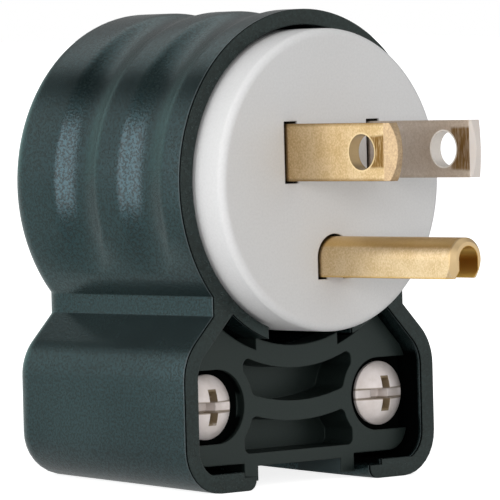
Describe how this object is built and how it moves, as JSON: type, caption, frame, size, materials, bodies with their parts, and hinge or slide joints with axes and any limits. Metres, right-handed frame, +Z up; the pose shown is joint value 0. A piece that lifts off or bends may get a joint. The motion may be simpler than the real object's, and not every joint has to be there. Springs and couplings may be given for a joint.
{
  "type": "angled plug",
  "caption": "Right-angle grounded power plug: drum-shaped head with flat blades and a U-shaped earth pin, over a cord block with a screwed cord clamp.",
  "frame": {"origin": "centre of the round face, where the drum's axis meets it", "axes": "+X across the plug, +Y from the face towards the back so that the blades point to -Y, +Z up from the cord block to the drum"},
  "size_m": [0.0384, 0.0546, 0.0534],
  "materials": {
    "housing_nylon": "satin",
    "clamp_nylon": "satin",
    "white_nylon": "satin",
    "brass": "rolled",
    "nickel_plate": "plated",
    "green_screw": "dyed",
    "bright_steel": "plated"
  },
  "bodies": {
    "root": {"housing": "housing_nylon", "face_body": "white_nylon", "terminal_retainer": "white_nylon", "hot_blade": "brass", "neutral_blade": "nickel_plate", "earth_pin": "brass", "hot_terminal_screw": "brass", "neutral_terminal_screw": "nickel_plate", "earth_terminal_screw": "green_screw", "hot_wire_clamp": "brass", "neutral_wire_clamp": "nickel_plate", "earth_wire_clamp": "brass", "cord_clamp": "clamp_nylon", "clamp_screws": "bright_steel", "assembly_screw": "bright_steel"}
  },
  "joints": []
}
